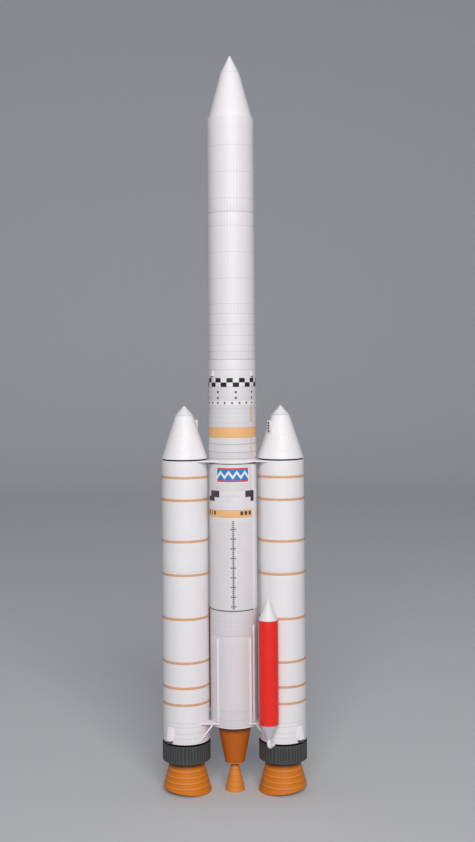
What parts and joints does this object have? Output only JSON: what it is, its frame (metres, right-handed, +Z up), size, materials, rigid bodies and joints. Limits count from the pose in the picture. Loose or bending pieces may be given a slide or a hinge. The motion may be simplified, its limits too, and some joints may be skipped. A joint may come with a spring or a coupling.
{
  "type": "card scale model of a space launch rocket with two strap-on boosters",
  "caption": "Display model of a space launch rocket in printed card: a long core with a nose fairing, strap-on boosters with side tanks, and open nozzles on which it stands.",
  "frame": {"origin": "on the floor, under the core's axis, at the level of the nozzle rims", "axes": "+Z up the core to the nose tip, +X from the core to the right-hand booster, -Y to the pictured front"},
  "size_m": [0.0958, 0.0528, 0.487],
  "materials": {
    "white_card": "printed white card, matt",
    "orange_card": "light orange printed card, matt",
    "red_card": "red coated card, satin",
    "brown_card": "brown printed card, matt",
    "grey_card": "dark grey printed card, matt"
  },
  "bodies": {
    "root": {"core_nose_tip": "white_card", "core_nose_cone": "white_card", "core_fairing_upper": "white_card", "core_fairing_lower": "white_card", "core_adapter": "white_card", "core_upper_stage": "white_card", "core_upper_band": "orange_card", "core_interstage": "white_card", "core_collar": "white_card", "core_tank_forward": "white_card", "core_mid_band": "orange_card", "core_tank_middle": "white_card", "core_tank_aft": "white_card", "core_raceway_right": "white_card", "core_raceway_left": "white_card", "core_conduit_front_right": "white_card", "core_conduit_back_right": "white_card", "core_conduit_back_left": "white_card", "core_conduit_front_left": "white_card", "core_engine_shroud": "brown_card", "core_nozzle": "orange_card", "right_booster_nose_tip": "white_card", "right_booster_nose_cone": "white_card", "right_booster_nose_box": "white_card", "right_booster_case_forward": "white_card", "right_booster_case_aft": "white_card", "right_booster_skirt": "grey_card", "right_booster_nozzle": "orange_card", "right_booster_heel_front": "white_card", "right_booster_heel_back": "white_card", "right_booster_tank_nose": "white_card", "right_booster_tank_body": "red_card", "right_booster_tank_tail": "white_card", "right_booster_tank_pipe": "white_card", "left_booster_nose_tip": "white_card", "left_booster_nose_cone": "white_card", "left_booster_nose_box": "white_card", "left_booster_case_forward": "white_card", "left_booster_case_aft": "white_card", "left_booster_skirt": "grey_card", "left_booster_nozzle": "orange_card", "left_booster_heel_front": "white_card", "left_booster_heel_back": "white_card", "left_booster_tank_nose": "white_card", "left_booster_tank_body": "red_card", "left_booster_tank_tail": "white_card", "left_booster_tank_pipe": "white_card", "tie_forward_right_front": "white_card", "tie_forward_right_back": "white_card", "tie_forward_left_front": "white_card", "tie_forward_left_back": "white_card", "tie_aft_right_front": "white_card", "tie_aft_right_back": "white_card", "tie_aft_left_front": "white_card", "tie_aft_left_back": "white_card", "brace_right_front": "white_card", "brace_right_back": "white_card", "brace_left_front": "white_card", "brace_left_back": "white_card"}
  },
  "joints": []
}
